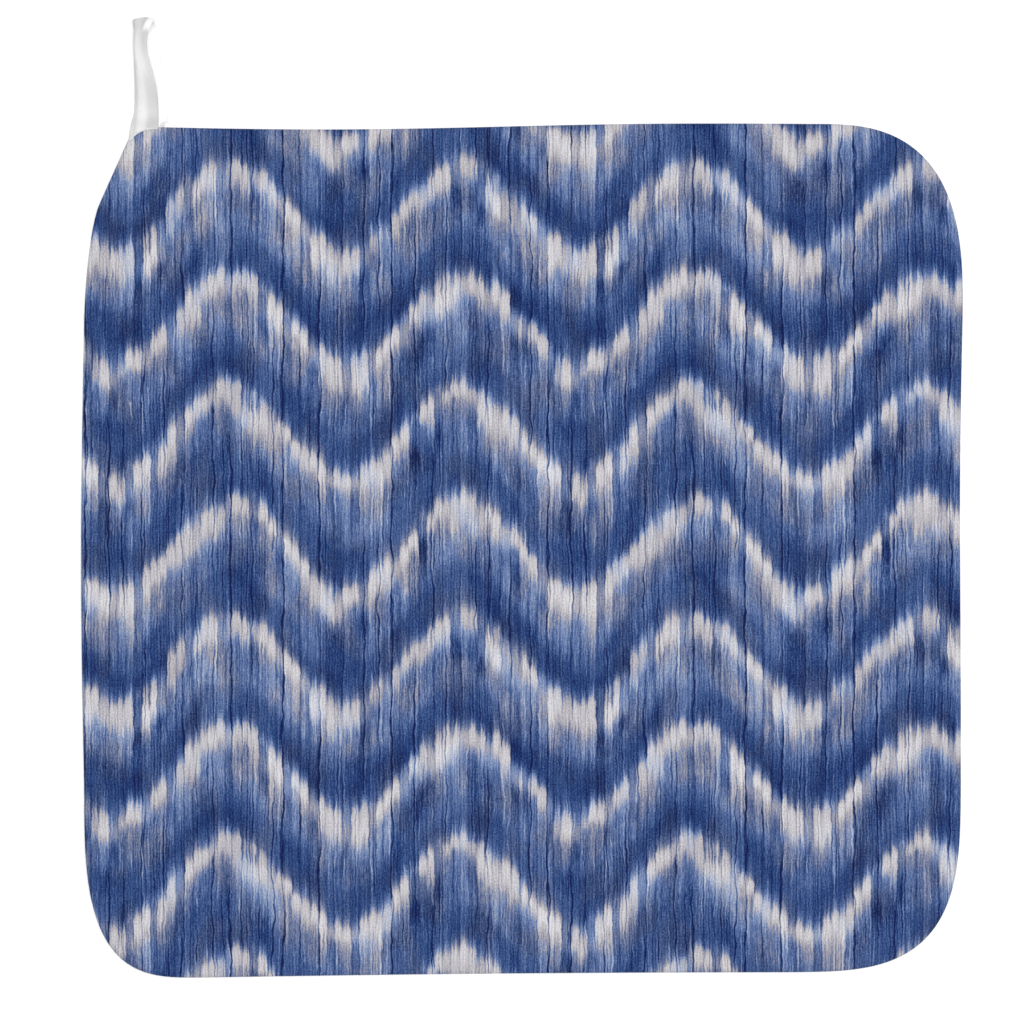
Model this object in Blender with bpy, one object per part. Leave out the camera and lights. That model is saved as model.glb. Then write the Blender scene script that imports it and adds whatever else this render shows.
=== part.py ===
"""A hand towel that lies flat, with a folded tape loop sewn into one corner.

Metres, +Z up. The cloth lies in the XY plane with its printed face up. The origin is
under the middle of the whole part, on the surface that the towel lies on.
"""

from collections import namedtuple
from math import cos, pi, radians, sin

import bmesh
import bpy
import numpy as np
from mathutils import Vector

# Cloth. The sides of the outline are given by their corners below.
CLOTH_THICKNESS = 0.0030
CLOTH_CORNER_STEPS = 14
CLOTH_SIDE_STEP = 0.020
CLOTH_SHARP_ANGLE = radians(40)

# Rim: the edge is turned in, so it is round and a little thinner than the middle.
RIM_WIDEST_HEIGHT = 0.0013
RIM_UNDER_REACH = 0.0012
RIM_TOP_REACH = 0.0026
RIM_SHOULDER_HEIGHT = 0.0028
RIM_SWELL_REACH = 0.0042
RIM_STEPS = 4

# Corners, clockwise from the loop. x and y are where the two sides would meet if they ran
# on. The rounding starts reach_before and ends reach_after that point, and a larger power
# makes it squarer. The side that follows swells out by bow and weaves by sway.
Corner = namedtuple("Corner", "name x y reach_before reach_after power bow sway")
CORNERS = (
    Corner("loop", -0.1321, 0.1262, 0.0055, 0.0060, 2.00, -0.00055, -0.0007),
    Corner("top_right", 0.1503, 0.1275, 0.0510, 0.0645, 2.80, -0.00060, -0.0002),
    Corner("bottom_right", 0.1491, -0.1609, 0.0645, 0.0580, 3.35, -0.00045, 0.0),
    Corner("bottom_left", -0.1490, -0.1636, 0.0400, 0.0660, 3.25, 0.00100, 0.0),
    Corner("shoulder", -0.1491, 0.0882, 0.0340, 0.0130, 2.00, 0.0, 0.0),
)

# Slot in the edge that takes the two ends of the tape.
SLOT_CENTRE_X = -0.1279
SLOT_WIDTH = 0.0128
SLOT_INNER_END_Y = 0.1160
SLOT_OUTER_END_Y = 0.1320
CLEARANCE = 0.0003

# Tape, folded double into the loop. It is pressed thinner where it is sewn in.
TAPE_THICKNESS = 0.0009
TAPE_SEWN_THICKNESS = 0.00065
TAPE_CORNER = 0.00022
TAPE_CORNER_STEPS = 2
TAPE_CORNER_ANGLE = radians(50)
TAPE_FLAT_CURL = radians(1)
TAPE_ACROSS_STEPS = 6
TAPE_STATION_STEPS = 3
CLOTH_MIDDLE = CLOTH_THICKNESS / 2
SEWN_STEP = (TAPE_SEWN_THICKNESS + CLEARANCE) / 2
LOWER_END = CLOTH_MIDDLE - SEWN_STEP
UPPER_END = CLOTH_MIDDLE + SEWN_STEP
ON_SURFACE = TAPE_THICKNESS / 2 + 0.00005

# Stations along the middle of the tape, from its lower end round the fold to its upper end.
# tilt turns the width about the length, right side up. curl is the angle that the width
# is rolled through, with its edges turned in to the loop. press is 1 where the tape is
# sewn flat and 0 where it is free.
Station = namedtuple("Station", "x y z tilt curl width press")
STATIONS = (
    Station(-0.1270, 0.1164, LOWER_END, 0, 0, 0.0099, 1),
    Station(-0.1270, 0.1215, LOWER_END, 0, 0, 0.0099, 1),
    Station(-0.1271, 0.1262, 0.00098, 0, 0, 0.0099, 1),
    Station(-0.1271, 0.1310, 0.00056, 0, 0, 0.0098, 0),
    Station(-0.1272, 0.1370, ON_SURFACE, 0, 4, 0.0095, 0),
    Station(-0.1274, 0.1450, ON_SURFACE, 0, 8, 0.0092, 0),
    Station(-0.1276, 0.1525, 0.00055, 0, 12, 0.0090, 0),
    Station(-0.1277, 0.1585, 0.00120, 5, 28, 0.0087, 0),
    Station(-0.1280, 0.1619, 0.00335, 18, 46, 0.0085, 0),
    Station(-0.1286, 0.1628, 0.00620, 32, 60, 0.0083, 0),
    Station(-0.1295, 0.1607, 0.00875, 46, 78, 0.0082, 0),
    Station(-0.1304, 0.1564, 0.00995, 54, 94, 0.0082, 0),
    Station(-0.1304, 0.1508, 0.01010, 54, 100, 0.0084, 0),
    Station(-0.1291, 0.1440, 0.00920, 42, 90, 0.0087, 0),
    Station(-0.1283, 0.1385, 0.00720, 34, 86, 0.0090, 0),
    Station(-0.1281, 0.1335, 0.00495, 25, 80, 0.0091, 0),
    Station(-0.1281, 0.1292, 0.00340, 13, 60, 0.0091, 0),
    Station(-0.1285, 0.1254, 0.00205, 0, 8, 0.0095, 1),
    Station(-0.1288, 0.1212, UPPER_END, 0, 0, 0.0099, 1),
    Station(-0.1288, 0.1164, UPPER_END, 0, 0, 0.0099, 1),
)

# Finishes: colour, roughness.
CLOTH_COLOUR = (0.130, 0.170, 0.330, 1.0)
CLOTH_ROUGHNESS = 0.92
TAPE_COLOUR = (0.800, 0.800, 0.790, 1.0)
TAPE_ROUGHNESS = 0.85


def clear_scene():
    for old in list(bpy.data.objects):
        bpy.data.objects.remove(old, do_unlink=True)


def make_finish(name, colour, roughness):
    finish = bpy.data.materials.new(name)
    finish.use_nodes = True
    shader = finish.node_tree.nodes["Principled BSDF"]
    shader.inputs["Base Color"].default_value = colour
    shader.inputs["Roughness"].default_value = roughness
    shader.inputs["Metallic"].default_value = 0.0
    return finish


def add_object(name, mesh, finish):
    thing = bpy.data.objects.new(name, mesh)
    bpy.context.collection.objects.link(thing)
    if finish:
        mesh.materials.append(finish)
    return thing


def rounded_corner(meeting, start, end, power):
    """Points from start to end round a meeting point, on a superellipse."""
    points = []
    for step in range(CLOTH_CORNER_STEPS + 1):
        angle = step / CLOTH_CORNER_STEPS * pi / 2
        towards_start = 1 - sin(angle) ** (2 / power)
        towards_end = 1 - cos(angle) ** (2 / power)
        points.append(
            meeting + (start - meeting) * towards_start + (end - meeting) * towards_end
        )
    return points


def uneven_side(start, end, bow, sway):
    """Points strictly between start and end, off the straight line by bow and sway."""
    along = end - start
    outward = Vector((-along.y, along.x)).normalized()
    count = max(int(along.length / CLOTH_SIDE_STEP), 1)
    points = []
    for step in range(1, count):
        share = step / count
        offset = bow * sin(pi * share) + sway * sin(2 * pi * share)
        points.append(start + along * share + outward * offset)
    return points


def cloth_outline():
    """The closed outline of the cloth, clockwise seen from above."""
    count = len(CORNERS)
    meetings = [Vector((corner.x, corner.y)) for corner in CORNERS]
    starts = []
    ends = []
    for index, corner in enumerate(CORNERS):
        here = meetings[index]
        back = (meetings[index - 1] - here).normalized()
        ahead = (meetings[(index + 1) % count] - here).normalized()
        starts.append(here + back * corner.reach_before)
        ends.append(here + ahead * corner.reach_after)
    outline = []
    for index, corner in enumerate(CORNERS):
        outline += rounded_corner(
            meetings[index], starts[index], ends[index], corner.power
        )
        next_start = starts[(index + 1) % count]
        outline += uneven_side(ends[index], next_start, corner.bow, corner.sway)
    return outline


def inset_outline(outline, inset):
    """The outline moved inwards by inset."""
    count = len(outline)
    moved = []
    for index, point in enumerate(outline):
        along = outline[(index + 1) % count] - outline[index - 1]
        inward = Vector((along.y, -along.x)).normalized()
        moved.append(point + inward * inset)
    return moved


def rim_profile():
    """Pairs of inset and height, from the flat underside round the rim to the top."""
    rows = []
    for step in range(RIM_STEPS):
        angle = step / RIM_STEPS * pi / 2
        inset = RIM_UNDER_REACH * (1 - sin(angle))
        rows.append((inset, RIM_WIDEST_HEIGHT * (1 - cos(angle))))
    for step in range(RIM_STEPS + 1):
        angle = step / RIM_STEPS * pi / 2
        rise = RIM_SHOULDER_HEIGHT - RIM_WIDEST_HEIGHT
        height = RIM_WIDEST_HEIGHT + rise * sin(angle)
        rows.append((RIM_TOP_REACH * (1 - cos(angle)), height))
    rows.append((RIM_SWELL_REACH, CLOTH_THICKNESS))
    return rows


def make_cloth(finish):
    outline = cloth_outline()
    shape = bmesh.new()
    rings = []
    for inset, height in rim_profile():
        level = [(point.x, point.y, height) for point in inset_outline(outline, inset)]
        rings.append([shape.verts.new(place) for place in level])
    count = len(outline)
    for lower, upper in zip(rings[:-1], rings[1:]):
        for index in range(count):
            after = (index + 1) % count
            shape.faces.new((lower[after], lower[index], upper[index], upper[after]))
    shape.faces.new(rings[0])
    shape.faces.new(reversed(rings[-1]))
    bmesh.ops.recalc_face_normals(shape, faces=shape.faces)
    mesh = bpy.data.meshes.new("towel")
    shape.to_mesh(mesh)
    shape.free()
    mesh.shade_smooth()
    mesh.set_sharp_from_angle(angle=CLOTH_SHARP_ANGLE)
    return add_object("towel", mesh, finish)


def cut_slot(cloth):
    """Opens the edge at the loop's corner for the two ends of the tape."""
    height = 2 * TAPE_SEWN_THICKNESS + 3 * CLEARANCE
    length = SLOT_OUTER_END_Y - SLOT_INNER_END_Y
    shape = bmesh.new()
    bmesh.ops.create_cube(shape, size=1.0)
    bmesh.ops.scale(shape, verts=shape.verts, vec=(SLOT_WIDTH, length, height))
    mesh = bpy.data.meshes.new("slot_cutter")
    shape.to_mesh(mesh)
    shape.free()
    cutter = add_object("slot_cutter", mesh, None)
    middle_y = (SLOT_OUTER_END_Y + SLOT_INNER_END_Y) / 2
    cutter.location = (SLOT_CENTRE_X, middle_y, CLOTH_MIDDLE)
    cutter.hide_render = True
    cutter.display_type = "WIRE"
    slot = cloth.modifiers.new("slot", "BOOLEAN")
    slot.operation = "DIFFERENCE"
    slot.solver = "EXACT"
    slot.object = cutter


def smooth_stations():
    """The stations with evenly spread steps between each two, on a smooth curve."""
    rows = np.array(STATIONS, dtype=float)
    padded = np.vstack([2 * rows[0] - rows[1], rows, 2 * rows[-1] - rows[-2]])
    smooth = []
    for index in range(1, len(padded) - 2):
        before, start, end, after = padded[index - 1 : index + 3]
        for step in range(TAPE_STATION_STEPS):
            share = step / TAPE_STATION_STEPS
            smooth.append(
                0.5
                * (
                    2 * start
                    + (end - before) * share
                    + (2 * before - 5 * start + 4 * end - after) * share**2
                    + (3 * start - before - 3 * end + after) * share**3
                )
            )
    smooth.append(rows[-1])
    return [Station(*row) for row in smooth]


def across_tape(station, ahead):
    """Points across the tape at a station, left to right seen from above."""
    tilt = radians(station.tilt)
    across = Vector((cos(tilt), 0, sin(tilt)))
    across = (across - ahead * across.dot(ahead)).normalized()
    outward = ahead.cross(across)
    middle = Vector((station.x, station.y, station.z))
    curl = radians(station.curl)
    points = []
    for step in range(TAPE_ACROSS_STEPS + 1):
        share = step / TAPE_ACROSS_STEPS - 0.5
        if curl < TAPE_FLAT_CURL:
            sideways = station.width * share
            drop = 0.0
        else:
            radius = station.width / curl
            sideways = radius * sin(curl * share)
            drop = radius * (1 - cos(curl * share))
        points.append(middle + across * sideways - outward * drop)
    return points


def make_loop(finish):
    stations = smooth_stations()
    middles = [Vector((station.x, station.y, station.z)) for station in stations]
    last = len(middles) - 1
    shape = bmesh.new()
    free_weights = shape.verts.layers.deform.verify()
    rows = []
    for index, station in enumerate(stations):
        ahead = middles[min(index + 1, last)] - middles[max(index - 1, 0)]
        row = []
        for place in across_tape(station, ahead.normalized()):
            vert = shape.verts.new(place)
            vert[free_weights][0] = 1.0 - min(max(station.press, 0.0), 1.0)
            row.append(vert)
        rows.append(row)
    for near, far in zip(rows[:-1], rows[1:]):
        for index in range(TAPE_ACROSS_STEPS):
            shape.faces.new((near[index], near[index + 1], far[index + 1], far[index]))
    mesh = bpy.data.meshes.new("hanging_loop")
    shape.to_mesh(mesh)
    shape.free()
    mesh.shade_smooth()
    loop = add_object("hanging_loop", mesh, finish)
    loop.vertex_groups.new(name="free")
    tape = loop.modifiers.new("tape", "SOLIDIFY")
    tape.thickness = TAPE_THICKNESS
    tape.offset = 0.0
    tape.use_even_offset = True
    tape.vertex_group = "free"
    tape.thickness_vertex_group = TAPE_SEWN_THICKNESS / TAPE_THICKNESS
    selvedge = loop.modifiers.new("selvedge", "BEVEL")
    selvedge.width = TAPE_CORNER
    selvedge.segments = TAPE_CORNER_STEPS
    selvedge.limit_method = "ANGLE"
    selvedge.angle_limit = TAPE_CORNER_ANGLE
    return loop


def main():
    clear_scene()
    printed_cloth = make_finish("printed_cloth", CLOTH_COLOUR, CLOTH_ROUGHNESS)
    white_tape = make_finish("white_tape", TAPE_COLOUR, TAPE_ROUGHNESS)
    cut_slot(make_cloth(printed_cloth))
    make_loop(white_tape)


main()
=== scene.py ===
"""The hand towel as the photo shows it: a waved ikat on short nap, with a white tape loop.

Metres and +Z up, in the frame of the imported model. The towel lies on the floor with its
printed face up. The camera looks straight down, and the top of the photo is +Y.
"""

from collections import namedtuple
from math import ceil, cos, dist, floor, pi, radians, sin

import bmesh
import bpy
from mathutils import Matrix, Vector, noise
from mathutils.kdtree import KDTree


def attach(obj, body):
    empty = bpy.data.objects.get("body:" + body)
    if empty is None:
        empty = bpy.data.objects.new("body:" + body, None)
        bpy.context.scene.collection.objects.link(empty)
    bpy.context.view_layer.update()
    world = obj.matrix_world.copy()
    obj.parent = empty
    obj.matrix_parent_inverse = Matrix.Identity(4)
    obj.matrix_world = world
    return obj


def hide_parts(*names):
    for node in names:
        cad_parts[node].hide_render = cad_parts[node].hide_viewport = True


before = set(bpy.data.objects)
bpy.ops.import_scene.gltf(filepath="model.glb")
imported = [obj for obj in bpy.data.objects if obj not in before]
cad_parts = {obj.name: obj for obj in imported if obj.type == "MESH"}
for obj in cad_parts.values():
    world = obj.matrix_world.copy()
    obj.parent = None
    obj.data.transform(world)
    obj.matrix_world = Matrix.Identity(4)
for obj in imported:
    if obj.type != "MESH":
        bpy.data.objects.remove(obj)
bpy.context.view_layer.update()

# Camera: straight down over the middle of the photo, from far off.
VIEW_MIDDLE = (-0.0034, -0.0048)
VIEW_WIDTH = 0.3483
LENS = 250.0
SENSOR_WIDTH = 36.0
NEAREST_SEEN = 0.05
FARTHEST_SEEN = 50.0

# Stage and light: a strong softbox over the camera and a weak one at the right, each with
# its place and power. LIGHT_LEVEL is how bright a white surface that lies flat comes out.
FLOOR_SIZE = 6.0
FLOOR_HEIGHT = -0.0002
FLOOR_SHADES = (0.970, 0.975)
FLOOR_BLOT = 900.0
SKY_STRENGTH = 0.40
SOFTBOXES = (
    ((0.10, 0.10, 3.0), 76.0),
    ((1.2, 0.2, 1.3), 4.0),
)
SOFTBOX_SIZE = 1.4
LIGHT_LEVEL = 1.27

# Cloth: the outline and the rim of the towel's solid, with finer steps. PRINT_TURNS_UNDER
# is how many rows of the rim's underside the print covers.
CLOTH_THICKNESS = 0.0030
CORNER_STEPS = 60
SIDE_STEP = 0.0015
RIM_WIDEST_HEIGHT = 0.0013
RIM_UNDER_REACH = 0.0012
RIM_TOP_REACH = 0.0026
RIM_SHOULDER_HEIGHT = 0.0028
RIM_SHOULDER_RISE = 0.00013
RIM_SWELL_REACH = 0.0042
RIM_STEPS = 7
PRINT_TURNS_UNDER = 6
GRID_STEP = 0.0012
GRID_MARGIN = 0.0009

# Corners, clockwise from the loop's. x and y are where the two sides would meet if they ran
# on. The rounding starts reach_before that point and ends reach_after it, and a larger power
# makes it squarer. The side that follows swells out by bow and weaves by sway.
Corner = namedtuple("Corner", "x y reach_before reach_after power bow sway")
LOOP_CORNER = Corner(-0.1321, 0.1262, 0.0055, 0.0060, 2.00, -0.00055, -0.0007)
TOP_RIGHT = Corner(0.1503, 0.1275, 0.0510, 0.0645, 2.80, -0.00060, -0.0002)
BOTTOM_RIGHT = Corner(0.1491, -0.1609, 0.0645, 0.0580, 3.35, -0.00045, 0.0)
BOTTOM_LEFT = Corner(-0.1490, -0.1636, 0.0400, 0.0660, 3.25, 0.00100, 0.0)
SHOULDER = Corner(-0.1491, 0.0882, 0.0340, 0.0130, 2.00, 0.0, 0.0)
CORNERS = (LOOP_CORNER, TOP_RIGHT, BOTTOM_RIGHT, BOTTOM_LEFT, SHOULDER)

# The cloth lies a little unevenly. Each pair is a wavelength and a height.
SWELLS = ((0.055, 0.00022), (0.021, 0.00012), (0.0065, 0.00006))
SWELL_REACH = 0.012

# Tape, folded double into the loop. It is pressed thinner where it is sewn in.
TAPE_THICKNESS = 0.0009
TAPE_SEWN_THICKNESS = 0.00065
TAPE_SIDE_STEPS = 16
TAPE_STATION_STEPS = 12
TAPE_SELVEDGE = 0.0006
TAPE_SELVEDGE_SWELL = 0.10
LEAST_CURL = 0.5
CLEARANCE = 0.0003
CLOTH_MIDDLE = CLOTH_THICKNESS / 2
SEWN_STEP = (TAPE_SEWN_THICKNESS + CLEARANCE) / 2
LOWER_END = CLOTH_MIDDLE - SEWN_STEP
UPPER_END = CLOTH_MIDDLE + SEWN_STEP
ON_SURFACE = TAPE_THICKNESS / 2 + 0.00005

# Stations along the middle of the tape, from its lower end round the fold to its upper end.
# tilt turns the width about the length, and curl is the angle that the width is rolled
# through, both in degrees. press is 1 where the tape is sewn flat and 0 where it is free.
Station = namedtuple("Station", "x y z tilt curl width press")
STATIONS = (
    Station(-0.1270, 0.1164, LOWER_END, 0, 0, 0.0099, 1),
    Station(-0.1270, 0.1215, LOWER_END, 0, 0, 0.0099, 1),
    Station(-0.1271, 0.1262, 0.00098, 0, 0, 0.0099, 1),
    Station(-0.1271, 0.1310, 0.00056, 0, 0, 0.0098, 0),
    Station(-0.1272, 0.1370, ON_SURFACE, 0, 4, 0.0095, 0),
    Station(-0.1274, 0.1450, ON_SURFACE, 0, 8, 0.0092, 0),
    Station(-0.1276, 0.1525, 0.00055, 0, 12, 0.0090, 0),
    Station(-0.1277, 0.1585, 0.00120, 5, 28, 0.0087, 0),
    Station(-0.1280, 0.1619, 0.00335, 18, 46, 0.0085, 0),
    Station(-0.1286, 0.1628, 0.00620, 32, 60, 0.0083, 0),
    Station(-0.1295, 0.1607, 0.00875, 46, 78, 0.0082, 0),
    Station(-0.1304, 0.1564, 0.00995, 54, 94, 0.0082, 0),
    Station(-0.1304, 0.1508, 0.01010, 54, 100, 0.0084, 0),
    Station(-0.1291, 0.1440, 0.00920, 42, 90, 0.0087, 0),
    Station(-0.1283, 0.1385, 0.00720, 34, 86, 0.0090, 0),
    Station(-0.1281, 0.1335, 0.00495, 25, 80, 0.0091, 0),
    Station(-0.1281, 0.1292, 0.00340, 13, 60, 0.0091, 0),
    Station(-0.1285, 0.1254, 0.00205, 0, 8, 0.0095, 1),
    Station(-0.1288, 0.1212, UPPER_END, 0, 0, 0.0099, 1),
    Station(-0.1288, 0.1164, UPPER_END, 0, 0, 0.0099, 1),
)

# Sewing at the root of the loop: a line of thread over the seam, and loose thread ends.
STITCH_START_X = -0.1332
STITCH_END_X = -0.1256
STITCH_INSET = 0.00062
STITCH_HEIGHT = 0.00248
STITCH_LENGTH = 0.0016
STITCH_DIP = 0.00006
THREAD_RADIUS = 0.00026
THREAD_END_RADIUS = 0.00009
THREAD_SIDES = 8
THREAD_STEPS = 6
THREAD_ENDS = (
    (
        (-0.1226, 0.1259, 0.0024),
        (-0.1222, 0.1271, 0.0030),
        (-0.1214, 0.1279, 0.0027),
        (-0.1205, 0.1278, 0.0014),
        (-0.1197, 0.1283, 0.0004),
    ),
    (
        (-0.1222, 0.1260, 0.0023),
        (-0.1216, 0.1270, 0.0026),
        (-0.1209, 0.1287, 0.0018),
        (-0.1207, 0.1300, 0.0006),
        (-0.1212, 0.1313, 0.0003),
    ),
    (
        (-0.1229, 0.1258, 0.0025),
        (-0.1231, 0.1266, 0.0031),
        (-0.1226, 0.1272, 0.0034),
        (-0.1219, 0.1268, 0.0029),
    ),
)

# Print, in millimetres. Rows of one cosine wave, each dyed from a pale band at its top to
# deep blue. The strands repeat after two waves, and the rows after four.
WAVE_PITCH = 78.65
WAVE_HEIGHT = 15.5
WAVE_CREST_X = -98.7
ROW_PITCH = 38.48
ROW_TOP_Y = 101.4
ROW_LEAD = 0.28
ROWS_IN_REPEAT = 4.0
STRAND_REPEAT = 2 * WAVE_PITCH
ROW_SHIFT = STRAND_REPEAT + 13.7
DASH_PITCH = 9.7
DASH_UNEVENNESS = 0.4
RIB_PITCH = 2.85
RIB_UNEVENNESS = 0.6
RIB_STEP_SHARE = 0.7
WALES = 154

# How far the strands stray, in layers of noise with a width, a length and a reach.
STRAYS = (
    (14.0, 22.0, 0.45),
    (1.8, 3.6, 0.27),
    (0.8, 1.5, 0.10),
)

# How the top and the tail of the dashes waver along a row. Each layer has a width, two
# numbers that make the rows differ, and its reach as a share of the row.
TOP_WAVERS = (
    (14.0, 4.1, 6.1, 0.020),
    (0.7, 5.7, 8.8, 0.035),
)
TAIL_WAVERS = (
    (9.0, 3.3, 1.7, 0.05),
    (0.6, 2.3, 0.7, 0.06),
)

# Blots of stronger and weaker dye, as a width and a length.
CLOUD_SIZE = (15.0, 13.0)
DRIFT_SIZE = (24.0, 20.0)

# Streaks along the strands. Each kind has a seed, a width, a length and a strength.
STREAKS = (
    (0.0, 0.30, 14.0, 0.08),
    (31.0, 1.3, 30.0, 0.05),
    (11.0, 3.6, 40.0, 0.05),
    (19.0, 8.5, 44.0, 0.06),
)

# Threads that show singly: their pitch, a seed, their length and how far they wander. The creases
# are painted as shade with a painted highlight beside each.
LONG_CREASES = (6.2, 3.0, 44.0, 0.85)
SHORT_CREASES = (3.3, 9.0, 30.0, 0.45)
HAIRS = (3.7, 21.0, 9.0, 0.9)
FINE_HAIRS = (2.1, 33.0, 14.0, 0.5)

# How pale the dye is down one row. Position 0 is the row's top edge, and 1 the next one's.
TONE_DOWN_ROW = (
    (-0.28, 0.306),
    (-0.20, 0.282),
    (-0.13, 0.288),
    (-0.08, 0.338),
    (-0.03, 0.452),
    (0.01, 0.635),
    (0.06, 0.785),
    (0.13, 0.806),
    (0.18, 0.780),
    (0.23, 0.690),
    (0.28, 0.575),
    (0.34, 0.500),
    (0.42, 0.460),
    (0.52, 0.414),
    (0.64, 0.358),
    (0.72, 0.306),
)

# How strongly the streaks show down one row.
STREAKS_DOWN_ROW = (
    (-0.28, 0.72),
    (-0.05, 0.80),
    (0.05, 0.40),
    (0.15, 0.30),
    (0.22, 0.62),
    (0.30, 1.20),
    (0.50, 1.42),
    (0.65, 1.10),
    (0.72, 0.72),
)

# Where down one row the dye wavers at its top and at its tail, drifts, and leaves gaps, and
# the tones on which hairs show. Each fades in from either end, from nothing to full.
TOP_REACH = ((-0.28, -0.18), (0.72, 0.50))
TAIL_REACH = ((0.02, 0.20), (0.72, 0.35))
DRIFT_REACH = ((0.15, 0.40), (0.72, 0.60))
GAP_REACH = ((-0.04, 0.05), (0.62, 0.15))
HAIR_TONES = ((0.18, 0.42), (0.88, 0.50))

# Dyes: a tone, then its colour where the dye is faded and where it is strong.
DYES = (
    (0.10, (19, 30, 75), (18, 31, 81)),
    (0.19, (35, 50, 96), (32, 51, 105)),
    (0.28, (54, 74, 117), (47, 75, 128)),
    (0.42, (94, 109, 149), (87, 109, 158)),
    (0.56, (140, 144, 166), (124, 144, 185)),
    (0.68, (178, 174, 181), (162, 173, 199)),
    (0.80, (202, 200, 205), (196, 200, 214)),
    (0.92, (227, 226, 230), (225, 226, 234)),
)

# Whites of the back, the tape and the thread, each from its darkest tone to its lightest.
PLAIN_WHITES = ((0.15, (186, 187, 190)), (0.5, (226, 226, 227)), (0.85, (242, 242, 241)))
# The tape's stops run past 255 so that its painted highlights come out fully white.
TAPE_WHITES = ((0.0, (222, 222, 223)), (0.5, (254, 254, 254)), (1.0, (277, 277, 277)))
THREAD_WHITES = ((0.0, (244, 244, 244)), (1.0, (268, 268, 268)))

# Weave of the back, the tape and the thread, in millimetres.
LOOP_ROW_PITCH = 1.15
CHEVRON_PITCH = 2.4
TAPE_RIB_PITCH = 0.62
TAPE_YARN_PITCH = 0.48
TWIST_PITCH = 0.45

# Places along the tape for its painted shade and highlights, in millimetres from its lower end.
FOLD_RUN = 49.0
RAISED_RUN = 63.0
ROOT_RUN = 84.0

# Sheen and gloss of cotton, and the sockets of the mix node that carry colours.
COTTON_GLOSS = 0.05
SHEEN_ROUGHNESS = 0.6
MIX_FIRST = 6
MIX_SECOND = 7
MIX_RESULT = 2


class Signal:
    """A number that a shader works out for each point, with its arithmetic."""

    def __init__(self, graph, socket):
        self.graph = graph
        self.socket = socket

    def __add__(self, other):
        return self.graph.math("ADD", self, other)

    def __sub__(self, other):
        return self.graph.math("SUBTRACT", self, other)

    def __mul__(self, other):
        return self.graph.math("MULTIPLY", self, other)

    def __truediv__(self, other):
        return self.graph.math("DIVIDE", self, other)


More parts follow.
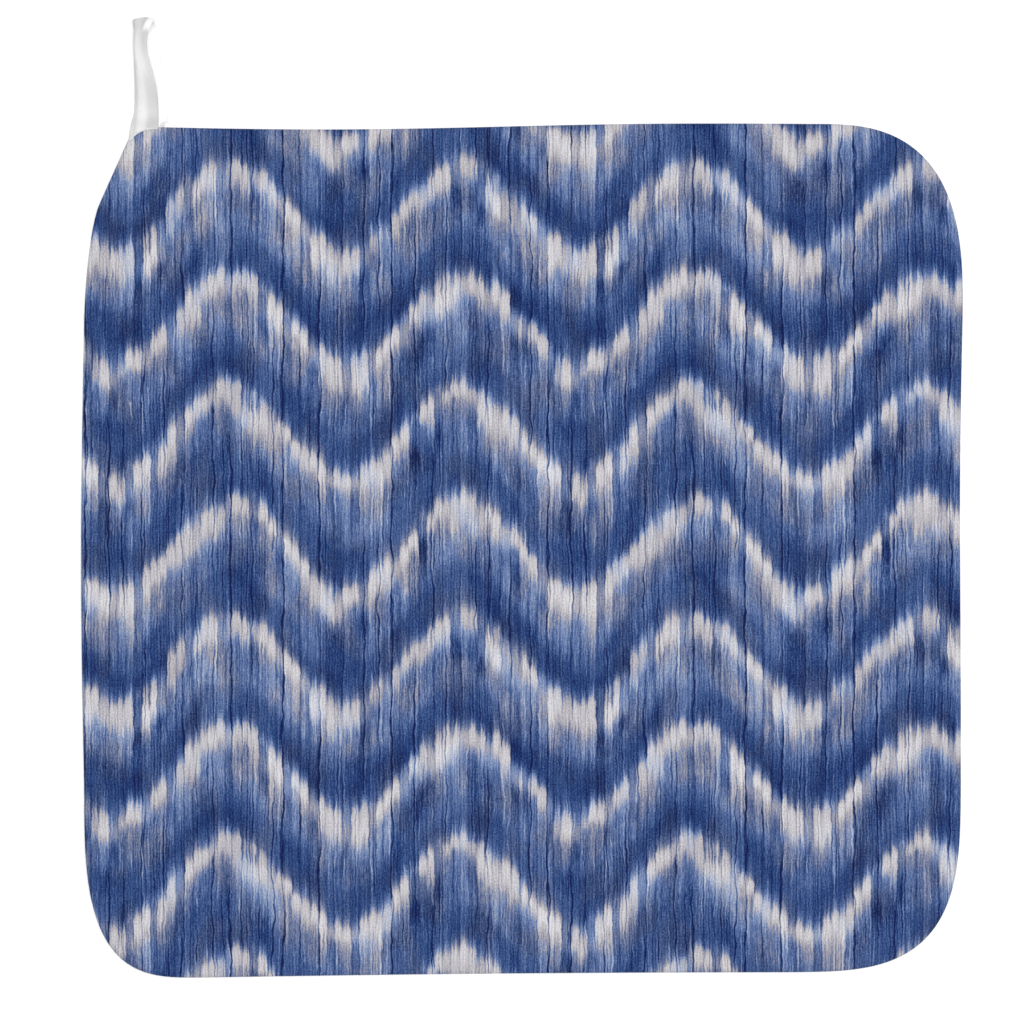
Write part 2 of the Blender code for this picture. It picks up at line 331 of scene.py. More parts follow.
class Graph:
    """The node tree of a new material, and the patterns that its nodes make."""

    def __init__(self, name):
        self.material = bpy.data.materials.new(name)
        self.material.use_nodes = True
        self.tree = self.material.node_tree
        self.shader = self.tree.nodes["Principled BSDF"]

    def node(self, kind, **settings):
        """Adds a node with its settings."""
        made = self.tree.nodes.new(kind)
        for setting, value in settings.items():
            setattr(made, setting, value)
        return made

    def feed(self, socket, value):
        """Links a signal to a socket, or sets the socket to a plain value."""
        if isinstance(value, Signal):
            self.tree.links.new(value.socket, socket)
        else:
            socket.default_value = value

    def math(self, operation, first, second=0.0):
        """One step of arithmetic, or a function of the first number."""
        made = self.node("ShaderNodeMath", operation=operation)
        self.feed(made.inputs[0], first)
        self.feed(made.inputs[1], second)
        return Signal(self, made.outputs[0])

    def floor(self, value):
        """The next whole number down."""
        return self.math("FLOOR", value)

    def wrap(self, value, period):
        """The value from 0 up to the period, which starts again after each period."""
        return self.math("FLOORED_MODULO", value, period)

    def size(self, value):
        """The value without its sign."""
        return self.math("ABSOLUTE", value)

    def wave(self, value, pitch):
        """A cosine wave from -1 to 1 with that pitch."""
        return self.math("COSINE", value * (2 * pi / pitch))

    def circle(self, angle, round_length):
        """The place at an angle on a circle of that length round, where all repeats."""
        radius = round_length / (2 * pi)
        return self.math("COSINE", angle) * radius, self.math("SINE", angle) * radius

    def ramp(self, value, start, end):
        """0 at start and beyond it, 1 at end and beyond it, and smooth between."""
        made = self.node("ShaderNodeMapRange", interpolation_type="SMOOTHSTEP")
        for socket, given in zip(made.inputs, (value, start, end, 0.0, 1.0)):
            self.feed(socket, given)
        return Signal(self, made.outputs[0])

    def between(self, value, reach):
        """1 inside a reach of two ramps, one at its low end and one at its high end."""
        low, high = reach
        return self.ramp(value, *low) * self.ramp(value, *high)

    def curve(self, value, stops):
        """A smooth curve through stops of position and height."""
        made = self.node("ShaderNodeFloatCurve")
        made.mapping.use_clip = False
        start = stops[0][0]
        span = stops[-1][0] - start
        points = made.mapping.curves[0].points
        while len(points) < len(stops):
            points.new(0.5, 0.5)
        for point, (position, height) in zip(points, stops):
            point.location = ((position - start) / span, height)
            point.handle_type = "AUTO_CLAMPED"
        made.mapping.update()
        self.feed(made.inputs["Value"], (value - start) / span)
        return Signal(self, made.outputs[0])

    def parts(self, vector, count):
        """The first numbers of a vector output."""
        made = self.node("ShaderNodeSeparateXYZ")
        self.tree.links.new(vector, made.inputs[0])
        return [Signal(self, output) for output in made.outputs[:count]]

    def millimetres(self):
        """x, y and z on the piece, in millimetres."""
        place = self.node("ShaderNodeTexCoord").outputs["Object"]
        return [part * 1000.0 for part in self.parts(place, 3)]

    def map_place(self, name):
        """The two numbers that a UV map of the piece gives."""
        return self.parts(self.node("ShaderNodeUVMap", uv_map=name).outputs[0], 2)

    def point(self, *places):
        """A place of two or three numbers as a vector."""
        made = self.node("ShaderNodeCombineXYZ")
        for socket, place in zip(made.inputs, places):
            self.feed(socket, place)
        return Signal(self, made.outputs[0])

    def smooth_noise(self, places, detail):
        """Smooth noise about 0 at a place of two to four numbers, with blots of size 1."""
        made = self.node("ShaderNodeTexNoise", noise_dimensions=f"{len(places)}D")
        self.feed(made.inputs["Vector"], self.point(*places[:3]))
        if len(places) == 4:
            self.feed(made.inputs["W"], places[3])
        made.inputs["Scale"].default_value = 1.0
        made.inputs["Detail"].default_value = detail
        return (Signal(self, made.outputs[0]) - 0.5) * 2.0

    def noise(self, x, y, width, length, detail=0.0):
        """Smooth noise about 0, with blots of that width and length."""
        return self.smooth_noise((x / width, y / length), detail)

    def streaks(self, x, along, width, length):
        """Smooth noise about 0 whose blots are long. along is a place on a circle."""
        return self.smooth_noise((x / width, *(part / length for part in along)), 0.0)

    def clouds(self, around, along, width, length):
        """Broad smooth noise about 0. around and along are both places on circles."""
        across = [part / width for part in around]
        down = [part / length for part in along]
        return self.smooth_noise((*across, *down), 1.0)

    def chance(self, x, y):
        """A random number from 0 to 1 for each pair of x and y."""
        made = self.node("ShaderNodeTexWhiteNoise", noise_dimensions="2D")
        self.feed(made.inputs["Vector"], self.point(x, y))
        return Signal(self, made.outputs[0])

    def strips(self, x, pitch, unevenness):
        """Uneven strips: three random numbers, the distance to the edge, and the middle."""
        where = x / pitch
        inside = self.node("ShaderNodeTexVoronoi", voronoi_dimensions="1D")
        edge = self.node("ShaderNodeTexVoronoi", voronoi_dimensions="1D")
        edge.feature = "DISTANCE_TO_EDGE"
        for made in (inside, edge):
            self.feed(made.inputs["W"], where)
            made.inputs["Scale"].default_value = 1.0
            made.inputs["Randomness"].default_value = unevenness
        numbers = self.parts(inside.outputs["Color"], 3)
        to_edge = Signal(self, edge.outputs["Distance"]) * pitch
        middle = Signal(self, inside.outputs["W"]) * pitch
        return numbers, to_edge, middle

    def threads(self, x, along, kind):
        """Upright lines, one to each pitch: the distance to the line, and how much shows."""
        pitch, seed, length, wander = kind
        strayed = x + self.streaks(x + seed * 31.0, along, pitch * 3.0, 9.0) * wander
        where = strayed / pitch
        number = self.floor(where)
        middle = (self.chance(number, seed) - 0.5) * 0.7 + 0.5
        away = (where - number - middle) * pitch
        shows = self.ramp(self.streaks(number * 3.7 + seed, along, 1.0, length), -0.25, 0.3)
        return away, shows

    def line(self, away, width):
        """1 on the line and 0 from that width on."""
        return self.ramp(self.size(away), width, width * 0.12)

    def colours(self, value, stops):
        """A colour for each value, through stops of position and shown colour."""
        made = self.node("ShaderNodeValToRGB")
        elements = made.color_ramp.elements
        while len(elements) < len(stops):
            elements.new(0.5)
        for element, (position, colour) in zip(elements, stops):
            element.position = position
            element.color = surface_colour(colour)
        self.feed(made.inputs[0], value)
        return Signal(self, made.outputs[0])

    def mix(self, share, first, second):
        """The first colour where share is 0, and the second where it is 1."""
        made = self.node("ShaderNodeMix", data_type="RGBA")
        self.feed(made.inputs["Factor"], share)
        self.feed(made.inputs[MIX_FIRST], first)
        self.feed(made.inputs[MIX_SECOND], second)
        return Signal(self, made.outputs[MIX_RESULT])

    def finish(self, colour, relief, relief_height, roughness, sheen):
        """Ties a colour and a relief to the shader. relief_height is in metres."""
        bump = self.node("ShaderNodeBump")
        bump.inputs["Distance"].default_value = relief_height
        self.feed(bump.inputs["Height"], relief)
        self.tree.links.new(bump.outputs[0], self.shader.inputs["Normal"])
        self.feed(self.shader.inputs["Base Color"], colour)
        self.shader.inputs["Roughness"].default_value = roughness
        self.shader.inputs["Specular IOR Level"].default_value = COTTON_GLOSS
        self.shader.inputs["Sheen Weight"].default_value = sheen
        self.shader.inputs["Sheen Roughness"].default_value = SHEEN_ROUGHNESS
        return self.material


def total(signals):
    """The sum of several signals."""
    first, *rest = signals
    return sum(rest, first)


def surface_colour(shown):
    """The surface colour that comes out as a shown one, given as 0 to 255, in this light."""
    channels = []
    for channel in shown:
        share = channel / 255
        if share <= 0.04045:
            linear = share / 12.92
        else:
            linear = ((share + 0.055) / 1.055) ** 2.4
        channels.append(linear / LIGHT_LEVEL)
    return (*channels, 1.0)


class PrintedNap(Graph):
    """The print: strands dyed in rows, with gaps and light hairs, and painted shade and
    highlights along the creases and grooves.
    """

    def __init__(self):
        super().__init__("printed_nap")
        self.x, self.y, _ = self.millimetres()
        self.place_strands()
        self.place_rows()
        self.place_dye()

    def place_strands(self):
        """Places across the strands, which stray a little, and the ribs that they form."""
        self.stray = total(
            self.noise(self.x, self.y, width, length) * reach for width, length, reach in STRAYS
        )
        self.strand = self.wrap(self.x + self.stray, STRAND_REPEAT)
        self.rib, self.rib_edge, self.rib_middle = self.strips(
            self.strand, RIB_PITCH, RIB_UNEVENNESS
        )

    def place_rows(self):
        """Places down the rows. The wave climbs in steps, as each rib was dyed in one piece."""
        stepped = self.strand + (self.rib_middle - self.strand) * RIB_STEP_SHARE
        angle = (stepped - WAVE_CREST_X) * (2 * pi / WAVE_PITCH)
        wave = self.math("COSINE", angle) * WAVE_HEIGHT
        depth = (wave + ROW_TOP_Y - self.y) / ROW_PITCH + ROW_LEAD
        turn = depth * (2 * pi / ROWS_IN_REPEAT)
        self.along = self.circle(turn, ROW_PITCH * ROWS_IN_REPEAT)
        self.around = self.circle(angle * 0.5, STRAND_REPEAT)
        row_number = self.floor(depth)
        self.down = depth - row_number - ROW_LEAD
        self.row = self.wrap(row_number, ROWS_IN_REPEAT)

    def waver(self, wavers):
        """How far the dye wavers along its row."""
        x = self.strand + self.row * ROW_SHIFT
        return total(
            self.noise(x, self.row * row_step + row_start, width, 1.0) * reach
            for width, row_step, row_start, reach in wavers
        )

    def place_dye(self):
        """Places down the row as they were dyed. A dash is a few ribs that took the dye
        together, and each rib has its own height too."""
        self.dash, self.dash_edge, _ = self.strips(
            self.rib_middle + self.row * ROW_SHIFT, DASH_PITCH, DASH_UNEVENNESS
        )
        self.drift = self.clouds(self.around, self.along, *DRIFT_SIZE)
        self.tail_reach = self.between(self.down, TAIL_REACH)
        rib_top = self.chance(self.rib[0] * 97.0, self.row + 0.5)
        rib_tail = self.chance(self.rib[1] * 91.0, self.row + 0.5)
        top = (
            (self.dash[0] - 0.5) * 0.085
            + (rib_top - 0.5) * 0.04
            + self.waver(TOP_WAVERS)
            + self.ramp(self.dash_edge, 3.6, 0.4) * 0.05
            + self.ramp(self.rib_edge, 1.0, 0.0) * 0.035
        )
        tail = (
            (self.dash[1] - 0.5) * 0.16
            + (rib_tail - 0.5) * 0.07
            + self.waver(TAIL_WAVERS)
            + self.drift * 0.14
        )
        top_reach = self.between(self.down, TOP_REACH)
        self.dyed = self.down - top * top_reach - tail * self.tail_reach

    def dyed_tone(self):
        """The tone of the dye alone, and where it is pale. Blue ribs run between the dashes,
        and clouds of stronger dye over all."""
        tone = self.curve(self.dyed, TONE_DOWN_ROW)
        pale = self.ramp(tone, 0.42, 0.70)
        own = self.chance(self.dash[0] * 83.0, self.row + 0.25)
        gap = self.ramp(self.dash_edge, 1.7, 0.9) * (self.dash[2] * 0.34 + 0.06)
        gap = gap * self.between(self.dyed, GAP_REACH)
        tone = tone - gap - pale * self.ramp(own, 0.20, 0.02) * 0.12
        tone = tone + (own - 0.5) * self.tail_reach * 0.12
        tone = tone + self.drift * self.between(self.down, DRIFT_REACH) * 0.11
        clouds = self.clouds(self.around, self.along, *CLOUD_SIZE)
        return tone + clouds * (pale * -0.12 + 0.22), pale

    def streak_tone(self):
        """Streaks of several widths, and the wales of the cloth."""
        short = self.noise(self.x + self.stray, self.y, 0.32, 2.2) * 0.07
        long = total(
            self.streaks(self.strand + seed, self.along, width, length) * strength
            for seed, width, length, strength in STREAKS
        )
        streaks = short + long + (self.rib[2] - 0.5) * 0.07
        wale_place = self.strand + self.streaks(self.strand + 5.0, self.along, 2.6, 16.0) * 0.45
        wales = self.wave(wale_place, STRAND_REPEAT / WALES)
        return streaks * self.curve(self.dyed, STREAKS_DOWN_ROW) + wales * 0.036

    def grooves(self):
        """1 in the grooves between the ribs, where they show. It drives their bump and their
        painted shade.
        """
        shows = self.ramp(self.streaks(self.strand, self.along, 1.0, 17.0), -0.8, 0.3)
        return self.line(self.rib_edge, 0.50) * shows

    def crease_shading(self, tone, pale, groove):
        """Painted shade along the creases and in the grooves. Each crease has a painted highlight
        on one side.
        """
        long_away, long_shows = self.threads(self.strand, self.along, LONG_CREASES)
        short_away, short_shows = self.threads(self.strand, self.along, SHORT_CREASES)
        crease_shade = (
            long_shows * self.line(long_away, 0.38) * 0.32
            + short_shows * self.line(short_away, 0.30) * 0.16
            + groove * self.ramp(tone, 0.15, 0.50) * (pale * -0.06 + 0.17)
        )
        crease_highlight = (
            long_shows * self.line(long_away - 0.60, 0.35) * 0.06
            + short_shows * self.line(short_away - 0.50, 0.30) * 0.05
        )
        return crease_highlight - crease_shade

    def hair_tone(self, tone):
        """Light hairs, which show on the middle tones."""
        hair_away, hair_shows = self.threads(self.strand, self.along, HAIRS)
        fine_away, fine_shows = self.threads(self.strand, self.along, FINE_HAIRS)
        hairs = (
            hair_shows * self.line(hair_away, 0.30) * 0.18
            + fine_shows * self.line(fine_away, 0.24) * 0.09
        )
        return hairs * self.between(tone, HAIR_TONES)

    def dye_strength(self, tone, hairs):
        """How strong the dye is: weakest in the pale band, and strongest far from it."""
        off_band = self.ramp(self.size(self.down - 0.13), 0.05, 0.27)
        deep = self.ramp(self.size(self.down - 0.25), 0.18, 0.45)
        strength = (
            self.noise(self.x + 50.0, self.y, 8.0, 14.0) * 1.2
            + self.noise(self.x, self.y + 90.0, 0.6, 3.0) * 0.5
            + hairs * 4.0
            + self.ramp(tone, 0.45, 0.75) * (off_band * 0.5 - 0.46)
            + deep * 0.38
            + 0.44
        )
        return self.ramp(strength, 0.0, 1.0)

    def finished(self):
        """The material, with its colour and relief."""
        tone, pale = self.dyed_tone()
        tone = tone + self.streak_tone()
        groove = self.grooves()
        hairs = self.hair_tone(tone)
        grain = self.noise(self.x, self.y, 0.45, 0.6)
        strength = self.dye_strength(tone, hairs)
        # The crease shading adds painted shade and highlights to the dye's tone.
        tone = tone + self.crease_shading(tone, pale, groove) + hairs + grain * 0.105
        faded = self.colours(tone, [(position, dye) for position, dye, _ in DYES])
        strong = self.colours(tone, [(position, dye) for position, _, dye in DYES])
        colour = self.mix(strength, faded, strong)
        relief = grain * 0.3 - groove * 0.5
        return self.finish(colour, relief, relief_height=0.00015, roughness=0.94, sheen=0.02)


def make_plain_nap():
    """The unprinted back: short white loops in close rows."""
    graph = Graph("plain_nap")
    x, y, _ = graph.millimetres()
    loops = graph.noise(x, y, 0.55, 0.75, detail=2.0)
    rows = graph.wave(x + graph.noise(x, y, 3.0, 6.0) * 0.4, LOOP_ROW_PITCH)
    tone = loops * 0.25 + rows * 0.07 + graph.noise(x, y, 17.0, 23.0) * 0.10 + 0.5
    colour = graph.colours(tone, PLAIN_WHITES)
    relief = loops * 0.5 + rows * 0.2
    return graph.finish(colour, relief, relief_height=0.0006, roughness=0.95, sheen=0.04)


def tape_tone_and_painted_light(graph, across, along, turn):
    """How pale the tape is, with painted light and shade: a painted highlight along its middle,
    where it is raised, on the face inside the loop and on the fold's lip, painted shade on its
    right side, beside the fold and at the root, and painted light at its left edge with painted
    shade at its right one. turn is over a half on the side that faces into the loop."""
    # middle is a painted highlight along the tape's crown, where it faces up.
    middle = graph.ramp(graph.size(across + 1.1), 2.8, 0.7)
    right_side_shade = graph.ramp(across, 1.2, 2.4)
    # Painted shade at the right edge and painted light at the left edge, where the curl turns
    # them from the light.
    edge_shading = graph.ramp(across, 3.8, 4.5) * 0.10 - graph.ramp(across, -3.4, -4.2) * 0.25
    # Painted highlight on the raised part of the upper leg.
    raised_highlight = graph.ramp(graph.size(along - RAISED_RUN), 11.0, 4.0)
    raised_highlight = raised_highlight * graph.ramp(graph.size(across - 0.8), 2.8, 0.7)
    # Painted shade near the root and beside the fold.
    root_shade = graph.ramp(along, ROOT_RUN, ROOT_RUN + 5.0)
    fold_shade = graph.ramp(along, FOLD_RUN - 4.0, FOLD_RUN - 1.0)
    fold_shade = fold_shade * graph.ramp(along, FOLD_RUN + 16.0, FOLD_RUN + 8.0)
    # Painted highlight on the fold's lip.
    lip_highlight = graph.ramp(across, 1.7, 2.5) * graph.ramp(graph.size(along - FOLD_RUN), 7.5, 4.5)
    # inner is painted light on the face inside the loop, which lies in shade.
    inner = graph.ramp(turn, 0.49, 0.51) * graph.ramp(across, -3.0, 0.5)
    clouds = graph.noise(across, along, 3.0, 9.0)
    tone = middle * 0.42 + raised_highlight * 0.34 + inner * 0.75 + lip_highlight * 0.95 + clouds * 0.10
    return tone - edge_shading - right_side_shade * 0.08 - root_shade * 0.28 - fold_shade * 0.22 + 0.23


def make_woven_tape():
    """White cotton tape with fine slanting ribs across it, and painted highlights and shade from
    tape_tone_and_painted_light.
    """
    graph = Graph("woven_tape")
    across, along = [part * 1000.0 for part in graph.map_place("weave")]
    turn, _ = graph.map_place("OFBake")
    slant = graph.size(graph.wrap(across, CHEVRON_PITCH) - CHEVRON_PITCH / 2)
    ribs = graph.wave(along + slant * 0.8, TAPE_RIB_PITCH)
    yarns = graph.wave(across, TAPE_YARN_PITCH)
    fuzz = graph.noise(across, along, 0.3, 0.5, detail=1.0)
    tone = tape_tone_and_painted_light(graph, across, along, turn) + ribs * yarns * 0.05 + fuzz * 0.10
    colour = graph.colours(tone, TAPE_WHITES)
    relief = ribs * yarns * 0.22 + yarns * 0.15 + fuzz * 0.25
    return graph.finish(colour, relief, relief_height=0.00015, roughness=0.80, sheen=0.03)


def make_thread():
    """White sewing thread, twisted from two plies."""
    graph = Graph("sewing_thread")
    x, y, z = graph.millimetres()
    twist = graph.wave(x + y * 0.7 + z, TWIST_PITCH)
    colour = graph.colours(twist * 0.4 + 0.5, THREAD_WHITES)
    return graph.finish(colour, twist, relief_height=0.00005, roughness=0.6, sheen=0.02)


def make_floor_paper():
    """Matt white paper with broad, very faint blots."""
    graph = Graph("floor_paper")
    x, y, _ = graph.millimetres()
    shade = graph.noise(x, y, FLOOR_BLOT, FLOOR_BLOT) * 0.2 + 0.5
    made = graph.node("ShaderNodeValToRGB")
    for element, level in zip(made.color_ramp.elements, FLOOR_SHADES):
        element.color = (level, level, level, 1.0)
    graph.feed(made.inputs[0], shade)
    graph.tree.links.new(made.outputs[0], graph.shader.inputs["Base Color"])
    graph.shader.inputs["Roughness"].default_value = 1.0
    graph.shader.inputs["Specular IOR Level"].default_value = 0.0
    return graph.material


def add_piece(name, shape, material):
    """Turns a finished shape into a smooth piece with one material."""
    mesh = bpy.data.meshes.new(name)
    shape.to_mesh(mesh)
    shape.free()
    mesh.shade_smooth()
    piece = bpy.data.objects.new(name, mesh)
    bpy.context.scene.collection.objects.link(piece)
    mesh.materials.append(material)
    return piece


def add_camera():
    """A long lens that looks straight down at the towel."""
    camera = bpy.data.objects.new("camera", bpy.data.cameras.new("camera"))
    bpy.context.scene.collection.objects.link(camera)
    camera.data.lens = LENS
    camera.data.sensor_width = SENSOR_WIDTH
    distance = VIEW_WIDTH / SENSOR_WIDTH * LENS
    camera.location = (*VIEW_MIDDLE, CLOTH_THICKNESS + distance)
    camera.data.clip_start = NEAREST_SEEN
    camera.data.clip_end = FARTHEST_SEEN
    bpy.context.scene.camera = camera


def add_light():
    """An even white sky, and the softboxes, which all face the towel."""
    scene = bpy.context.scene
    scene.view_settings.view_transform = "Standard"
    sky = bpy.data.worlds.new("sky")
    sky.use_nodes = True
    background = sky.node_tree.nodes["Background"]
    background.inputs["Color"].default_value = (1.0, 1.0, 1.0, 1.0)
    background.inputs["Strength"].default_value = SKY_STRENGTH
    scene.world = sky
    for place, power in SOFTBOXES:
        softbox = bpy.data.objects.new("softbox", bpy.data.lights.new("softbox", "AREA"))
        scene.collection.objects.link(softbox)
        softbox.data.size = SOFTBOX_SIZE
        softbox.data.energy = power
        softbox.location = place
        softbox.rotation_mode = "QUATERNION"
        softbox.rotation_quaternion = (-Vector(place)).to_track_quat("-Z", "Y")


def add_floor():
    """The white surface that the towel lies on."""
    shape = bmesh.new()
    bmesh.ops.create_grid(shape, x_segments=8, y_segments=8, size=FLOOR_SIZE / 2)
    ground = add_piece("floor", shape, make_floor_paper())
    ground.location.z = FLOOR_HEIGHT
    return ground


def rounded_corner(meeting, start, end, power):
    """Points from start to end round a meeting point, on a superellipse."""
    points = []
    for step in range(CORNER_STEPS + 1):
        angle = step / CORNER_STEPS * pi / 2
        towards_start = 1 - sin(angle) ** (2 / power)
        towards_end = 1 - cos(angle) ** (2 / power)
        points.append(
            meeting + (start - meeting) * towards_start + (end - meeting) * towards_end
        )
    return points


def uneven_side(start, end, bow, sway):
    """Points strictly between start and end, off the straight line by bow and sway."""
    along = end - start
    outward = Vector((-along.y, along.x)).normalized()
    count = max(int(along.length / SIDE_STEP), 1)
    points = []
    for step in range(1, count):
        share = step / count
        offset = bow * sin(pi * share) + sway * sin(2 * pi * share)
        points.append(start + along * share + outward * offset)
    return points


def cloth_outline():
    """The closed outline of the cloth, clockwise seen from above, in even steps."""
    count = len(CORNERS)
    meetings = [Vector((corner.x, corner.y)) for corner in CORNERS]
    starts = []
    ends = []
    for index, corner in enumerate(CORNERS):
        here = meetings[index]
        back = (meetings[index - 1] - here).normalized()
        ahead = (meetings[(index + 1) % count] - here).normalized()
        starts.append(here + back * corner.reach_before)
        ends.append(here + ahead * corner.reach_after)
    outline = []
    for index, corner in enumerate(CORNERS):
        outline += rounded_corner(meetings[index], starts[index], ends[index], corner.power)
        next_start = starts[(index + 1) % count]
        outline += uneven_side(ends[index], next_start, corner.bow, corner.sway)
    return even_steps(outline)


def even_steps(outline):
    """The same closed line with its points SIDE_STEP apart."""
    closed = [*outline, outline[0]]
    lengths = [(after - here).length for here, after in zip(closed, closed[1:])]
    count = round(sum(lengths) / SIDE_STEP)
    step = sum(lengths) / count
    points = []
    index = 0
    behind = 0.0
    for number in range(count):
        wanted = number * step
        while behind + lengths[index] < wanted:
            behind += lengths[index]
            index += 1
        share = (wanted - behind) / lengths[index]
        points.append(closed[index].lerp(closed[index + 1], share))
    return points


def inset_outline(outline, inset):
    """The outline moved inwards by inset, or outwards where it is negative."""
    count = len(outline)
    moved = []
    for index, point in enumerate(outline):
        along = outline[(index + 1) % count] - outline[index - 1]
        inward = Vector((along.y, -along.x)).normalized()
        moved.append(point + inward * inset)
    return moved


def under_rim():
    """Pairs of inset and height from the flat underside out to the widest line."""
    rows = []
    for step in range(RIM_STEPS + 1):
        angle = step / RIM_STEPS * pi / 2
        inset = RIM_UNDER_REACH * (1 - sin(angle))
        rows.append((inset, RIM_WIDEST_HEIGHT * (1 - cos(angle))))
    return rows


def upper_rim():
    """Pairs of inset and height from just over the widest line to the flat top."""
    rows = []
    for step in range(1, RIM_STEPS + 1):
        angle = step / RIM_STEPS * pi / 2
        rise = RIM_SHOULDER_HEIGHT - RIM_WIDEST_HEIGHT
        height = RIM_WIDEST_HEIGHT + rise * sin(angle)
        rows.append((RIM_TOP_REACH * (1 - cos(angle)), height))
    middle = (RIM_TOP_REACH + RIM_SWELL_REACH) / 2
    rows.append((middle, RIM_SHOULDER_HEIGHT + RIM_SHOULDER_RISE))
    rows.append((RIM_SWELL_REACH, CLOTH_THICKNESS))
    return rows


def add_rings(shape, outline, rows, facing_up):
    """Rings of vertices over the rim from outside in, with the faces between them."""
    rings = []
    for inset, height in rows:
        ring = [(point.x, point.y, height) for point in inset_outline(outline, inset)]
        rings.append([shape.verts.new(place) for place in ring])
    for outer, inner in zip(rings, rings[1:]):
        for index, vert in enumerate(outer):
            after = (index + 1) % len(outer)
            corners = (vert, outer[after], inner[after], inner[index])
            shape.faces.new(corners if facing_up else reversed(corners))
    return rings


def spans_inside(outline, y):
    """The stretches of a level line that lie inside the outline."""
    crossings = []
    for here, after in zip(outline, [*outline[1:], outline[0]]):
        if (here.y > y) != (after.y > y):
            share = (y - here.y) / (after.y - here.y)
            crossings.append(here.x + (after.x - here.x) * share)
    crossings.sort()
    return list(zip(crossings[::2], crossings[1::2]))


def grid_inside(shape, ring, height):
    """Fills a closed ring of vertices with an even grid, and joins the two."""
    limit = inset_outline([vert.co.to_2d() for vert in ring], GRID_MARGIN)
    low_x = min(place.x for place in limit)
    low_y = min(place.y for place in limit)
    lines = int((max(place.y for place in limit) - low_y) / GRID_STEP) + 1
    verts = {}
    for line in range(lines):
        y = low_y + line * GRID_STEP
        for left, right in spans_inside(limit, y):
            first = ceil((left - low_x) / GRID_STEP)
            last = floor((right - low_x) / GRID_STEP)
            for column in range(first, last + 1):
                place = (low_x + column * GRID_STEP, y, height)
                verts[column, line] = shape.verts.new(place)
    faces = []
    for column, line in verts:
        around = ((column, line), (column + 1, line), (column + 1, line + 1), (column, line + 1))
        if all(key in verts for key in around):
            faces.append(shape.faces.new([verts[key] for key in around]))
    for vert in verts.values():
        if not vert.link_faces:
            shape.verts.remove(vert)
    loose = {edge for face in faces for edge in face.edges if edge.is_boundary}
    rim = {shape.edges.get((vert, after)) for vert, after in zip(ring, [*ring[1:], ring[0]])}
    bmesh.ops.triangle_fill(shape, edges=[*loose, *rim], use_beauty=True, normal=(0, 0, 1))


def turn_faces(shape, facing_up):
    """Makes the faces agree, with the flat ones up or down."""
    bmesh.ops.recalc_face_normals(shape, faces=shape.faces)
    shape.normal_update()
    middle = max(shape.faces, key=lambda face: face.calc_area())
    if (middle.normal.z > 0) != facing_up:
        bmesh.ops.reverse_faces(shape, faces=shape.faces)


def map_flat(shape, outline, rows, rings):
    """A map seen from above that fills the unit square, with the rim laid out flat."""
    runs = [0.0]
    for here, after in zip(rows, rows[1:]):
        runs.append(runs[-1] + dist(here, after))
    places = {}
    for ring, run in zip(rings, runs):
        unrolled = inset_outline(outline, rows[-1][0] - (runs[-1] - run))
        for vert, point in zip(ring, unrolled):
            places[vert] = (point.x, point.y)
    for vert in shape.verts:
        places.setdefault(vert, (vert.co.x, vert.co.y))
    low_x = min(x for x, _ in places.values())
    low_y = min(y for _, y in places.values())
    size_x = max(x for x, _ in places.values()) - low_x
    size_y = max(y for _, y in places.values()) - low_y
    baked = shape.loops.layers.uv.new("OFBake")
    for face in shape.faces:
        for loop in face.loops:
            x, y = places[loop.vert]
            loop[baked].uv = ((x - low_x) / size_x, (y - low_y) / size_y)


def swell(x, y, depth_in):
    """How far the cloth's top stands off its even level, depth_in from the edge."""
    lift = 0.0
    for length, height in SWELLS:
        lift += height * noise.noise(Vector((x / length, y / length, length * 100)))
    share = min(depth_in / SWELL_REACH, 1.0)
    return lift * share * share * (3 - 2 * share)


def lift_swells(shape, outline):
    """Makes the top inside the rim lie a little unevenly."""
    tree = KDTree(len(outline))
    for index, point in enumerate(outline):
        tree.insert((point.x, point.y, 0.0), index)
    tree.balance()
    for vert in shape.verts:
        depth_in = tree.find((vert.co.x, vert.co.y, 0.0))[2] - RIM_SWELL_REACH
        if depth_in > 0:
            vert.co.z += swell(vert.co.x, vert.co.y, depth_in)


def make_cloth_side(name, rows, material, facing_up):
    """One side of the cloth: rings over the rim, then an even grid inside them."""
    outline = cloth_outline()
    shape = bmesh.new()
    rings = add_rings(shape, outline, rows, facing_up)
    grid_inside(shape, rings[-1], rows[-1][1])
    turn_faces(shape, facing_up)
    map_flat(shape, outline, rows, rings)
    if facing_up:
        lift_swells(shape, outline)
    return add_piece(name, shape, material)


def make_cloth():
    """The printed face, which turns under the rim, and the plain back that closes it."""
    under = under_rim()
    split = len(under) - PRINT_TURNS_UNDER
    face_rows = under[split:] + upper_rim()
    back_rows = list(reversed(under[: split + 1]))
    printed = make_cloth_side("printed_face", face_rows, PrintedNap().finished(), True)
    plain = make_cloth_side("plain_back", back_rows, make_plain_nap(), False)
    return printed, plain


def smooth_line(points, steps):
    """A closer line on a smooth curve through the points."""
    padded = [points[0] * 2 - points[1], *points, points[-1] * 2 - points[-2]]
    line = []
    for index in range(1, len(padded) - 2):
        before, start, end, after = padded[index - 1 : index + 3]
        for step in range(steps):
            share = step / steps
            line.append(
                (
                    start * 2
                    + (end - before) * share
                    + (before * 2 - start * 5 + end * 4 - after) * share**2
                    + (start * 3 - before - end * 3 + after) * share**3
                )
                * 0.5
            )
    line.append(points[-1])
    return line


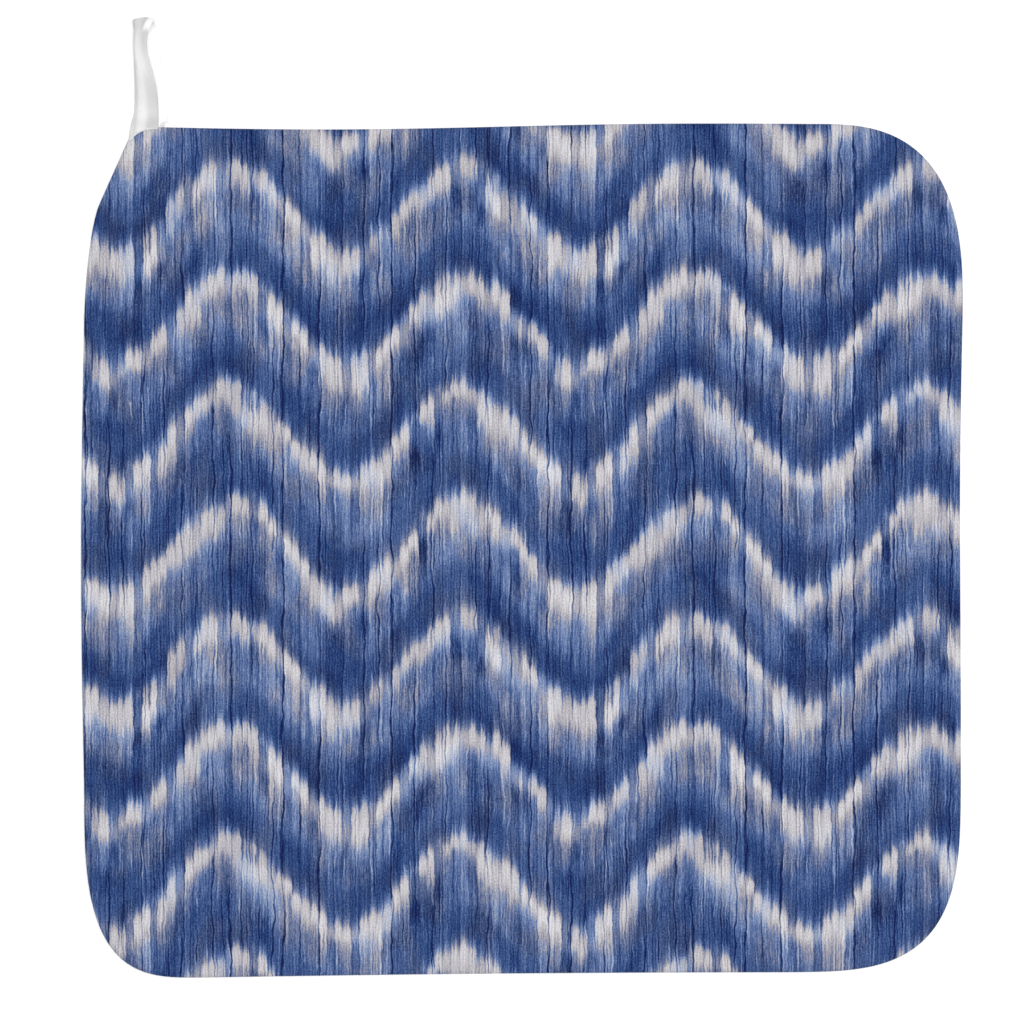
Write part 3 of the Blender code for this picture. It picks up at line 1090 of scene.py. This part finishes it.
def tape_section(thickness, width):
    """Points round the tape as pairs of share across (-0.5 to 0.5) and height."""
    top = []
    for step in range(TAPE_SIDE_STEPS + 1):
        share = -0.5 * cos(pi * step / TAPE_SIDE_STEPS)
        from_edge = (0.5 - abs(share)) * width
        rounding = min(from_edge / (thickness * 0.5), 1.0)
        height = thickness / 2 * (rounding * (2 - rounding)) ** 0.5
        if from_edge < 2 * TAPE_SELVEDGE:
            bead = sin(pi * min(from_edge / (2 * TAPE_SELVEDGE), 1.0))
            height *= 1 + TAPE_SELVEDGE_SWELL * bead
        top.append((share, height))
    bottom = [(share, -height) for share, height in reversed(top[1:-1])]
    return top + bottom


def place_across(station, ahead, share, height):
    """A point of the tape at a station: share across it, and height off its middle."""
    tilt = radians(station.tilt)
    across = Vector((cos(tilt), 0, sin(tilt)))
    across = (across - ahead * across.dot(ahead)).normalized()
    outward = ahead.cross(across)
    curl = radians(max(station.curl, LEAST_CURL))
    radius = station.width / curl
    angle = curl * share
    reach = radius + height
    sideways = reach * sin(angle)
    drop = radius - reach * cos(angle)
    middle = Vector((station.x, station.y, station.z))
    return middle + across * sideways - outward * drop


def direction_at(line, index):
    """The direction of a line at one of its points."""
    last = len(line) - 1
    return (line[min(index + 1, last)] - line[max(index - 1, 0)]).normalized()


def tape_rings(shape, stations, middles):
    """A ring of vertices round each station, each with its place across the tape."""
    rings = []
    for index, station in enumerate(stations):
        ahead = direction_at(middles, index)
        press = min(max(station.press, 0.0), 1.0)
        thickness = TAPE_THICKNESS + (TAPE_SEWN_THICKNESS - TAPE_THICKNESS) * press
        ring = []
        for share, height in tape_section(thickness, station.width):
            place = place_across(station, ahead, share, height)
            ring.append((shape.verts.new(place), share * station.width))
        rings.append(ring)
    return rings


def skin_tape(shape, rings, runs):
    """The faces between the rings and over both ends, with a map in metres for the weave
    and one of the unit square."""
    weave = shape.loops.layers.uv.new("weave")
    baked = shape.loops.layers.uv.new("OFBake")
    count = len(rings[0])
    for near, far, near_run, far_run in zip(rings, rings[1:], runs, runs[1:]):
        lengths = (near_run, near_run, far_run, far_run)
        for side in range(count):
            after = (side + 1) % count
            corners = (near[side], near[after], far[after], far[side])
            face = shape.faces.new([vert for vert, _ in corners])
            turns = (side, side + 1, side + 1, side)
            for loop, (_, across), length, turn in zip(face.loops, corners, lengths, turns):
                loop[weave].uv = (across, length)
                loop[baked].uv = (turn / count, length / runs[-1])
    shape.faces.new([vert for vert, _ in rings[0]])
    shape.faces.new([vert for vert, _ in reversed(rings[-1])])


def make_loop():
    """The tape of the loop, from its lower end in the seam to its upper one."""
    rows = smooth_line([Vector(station) for station in STATIONS], TAPE_STATION_STEPS)
    stations = [Station(*row) for row in rows]
    middles = [Vector((station.x, station.y, station.z)) for station in stations]
    runs = [0.0]
    for here, after in zip(middles, middles[1:]):
        runs.append(runs[-1] + (after - here).length)
    shape = bmesh.new()
    skin_tape(shape, tape_rings(shape, stations, middles), runs)
    bmesh.ops.recalc_face_normals(shape, faces=shape.faces)
    return add_piece("tape_loop", shape, make_woven_tape())


def add_tube(shape, line, radius):
    """A round thread along the line, half as thick at both ends."""
    last = len(line) - 1
    rings = []
    side = Vector((0, 0, 1))
    for index, place in enumerate(line):
        ahead = direction_at(line, index)
        side = (side - ahead * side.dot(ahead)).normalized()
        other = ahead.cross(side)
        width = radius * (0.5 if index in (0, last) else 1.0)
        ring = []
        for step in range(THREAD_SIDES):
            angle = 2 * pi * step / THREAD_SIDES
            ring.append(shape.verts.new(place + (side * cos(angle) + other * sin(angle)) * width))
        rings.append(ring)
    for near, far in zip(rings, rings[1:]):
        for step in range(THREAD_SIDES):
            after = (step + 1) % THREAD_SIDES
            shape.faces.new((near[step], near[after], far[after], far[step]))
    shape.faces.new(reversed(rings[0]))
    shape.faces.new(rings[-1])


def seam_line():
    """The line of thread over the loop's seam, which dips at each stitch."""
    edge = inset_outline(cloth_outline(), STITCH_INSET)
    seam = [point for point in edge if STITCH_START_X < point.x < STITCH_END_X and point.y > 0]
    seam.sort(key=lambda point: point.x)
    places = [Vector((point.x, point.y, STITCH_HEIGHT)) for point in seam]
    line = smooth_line(places, THREAD_STEPS)
    run = 0.0
    for index, place in enumerate(line):
        if index:
            run += (place.xy - line[index - 1].xy).length
        place.z += STITCH_DIP * cos(2 * pi * run / STITCH_LENGTH)
    return line


def make_root_sewing():
    """The thread over the loop's seam, with its loose ends."""
    shape = bmesh.new()
    add_tube(shape, seam_line(), THREAD_RADIUS)
    for end in THREAD_ENDS:
        line = smooth_line([Vector(place) for place in end], THREAD_STEPS)
        add_tube(shape, line, THREAD_END_RADIUS)
    bmesh.ops.recalc_face_normals(shape, faces=shape.faces)
    return add_piece("root_sewing", shape, make_thread())


add_camera()
add_light()
paper = add_floor()

face, back = make_cloth()
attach(face, "root")
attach(back, "root")
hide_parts("towel")

loop = make_loop()
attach(loop, "root")
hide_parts("hanging_loop")

sewing = make_root_sewing()
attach(sewing, "root")
